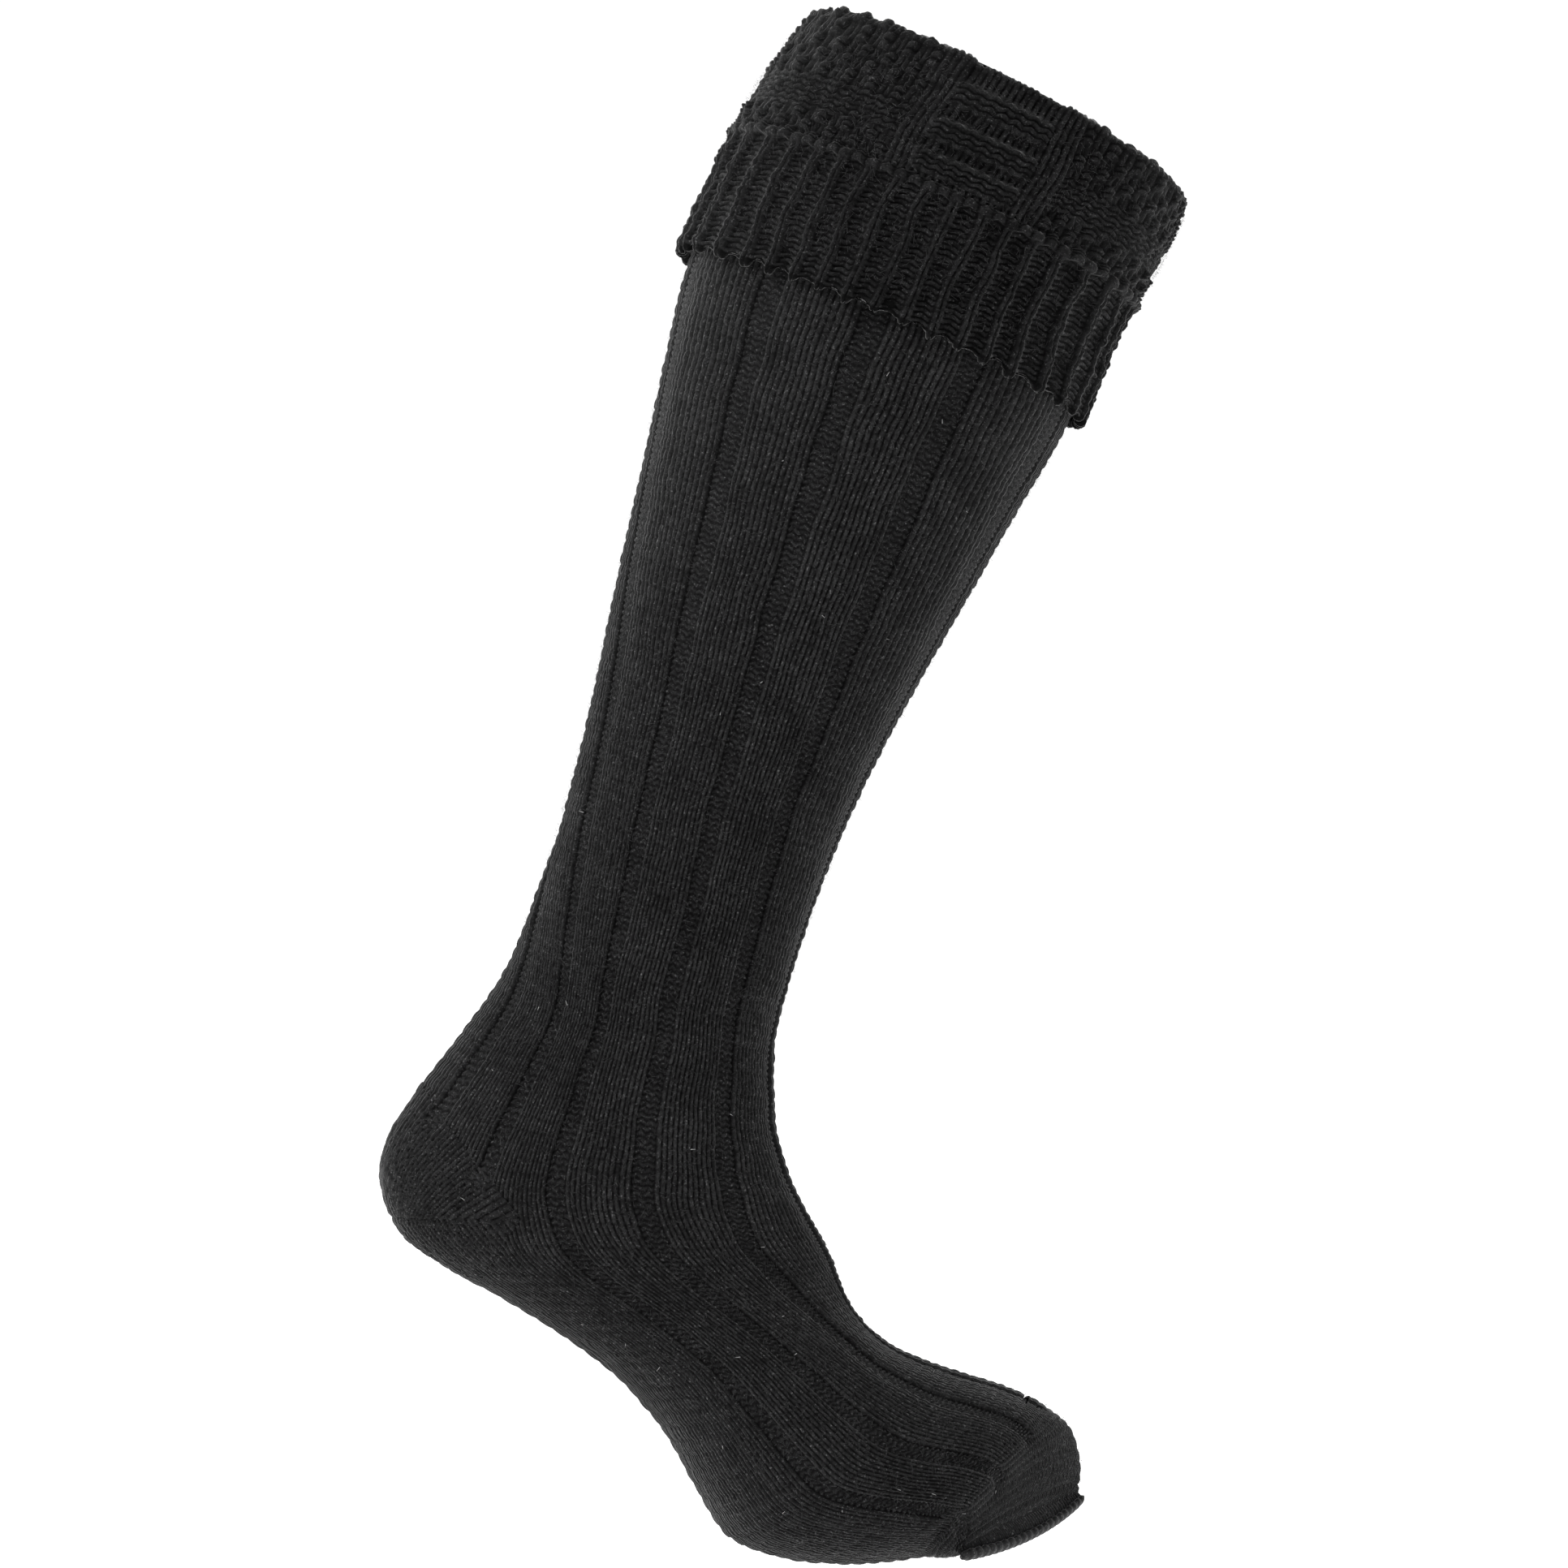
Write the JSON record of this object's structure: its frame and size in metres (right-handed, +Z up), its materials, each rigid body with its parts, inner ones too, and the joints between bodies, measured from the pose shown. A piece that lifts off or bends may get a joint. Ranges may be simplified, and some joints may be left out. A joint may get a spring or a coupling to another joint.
{
  "type": "kilt hose sock",
  "caption": "Knee-length ribbed wool sock in its worn shape, hollow and open at the top, with a turned-down patterned cuff, a turned heel and a linked toe.",
  "frame": {"origin": "middle of the ankle, inside the sock, on the line of the leg", "axes": "+Z up the leg and out of the mouth, +X towards the toes, -Y the outer side of the leg"},
  "size_m": [0.275, 0.1334, 0.4781],
  "materials": {
    "cuff_knit": "charcoal wool, moss stitch, purl bands and narrow rib",
    "rib_knit": "charcoal wool, wide knit ribs with sunk purl channels",
    "plain_knit": "charcoal wool, plain stocking stitch",
    "linking_yarn": "charcoal wool, one raised row of linked loops"
  },
  "bodies": {
    "root": {"turnover_cuff": "cuff_knit", "leg": "rib_knit", "heel": "plain_knit", "foot": "rib_knit", "forefoot": "rib_knit", "toe": "plain_knit", "toe_seam": "linking_yarn"}
  },
  "joints": []
}
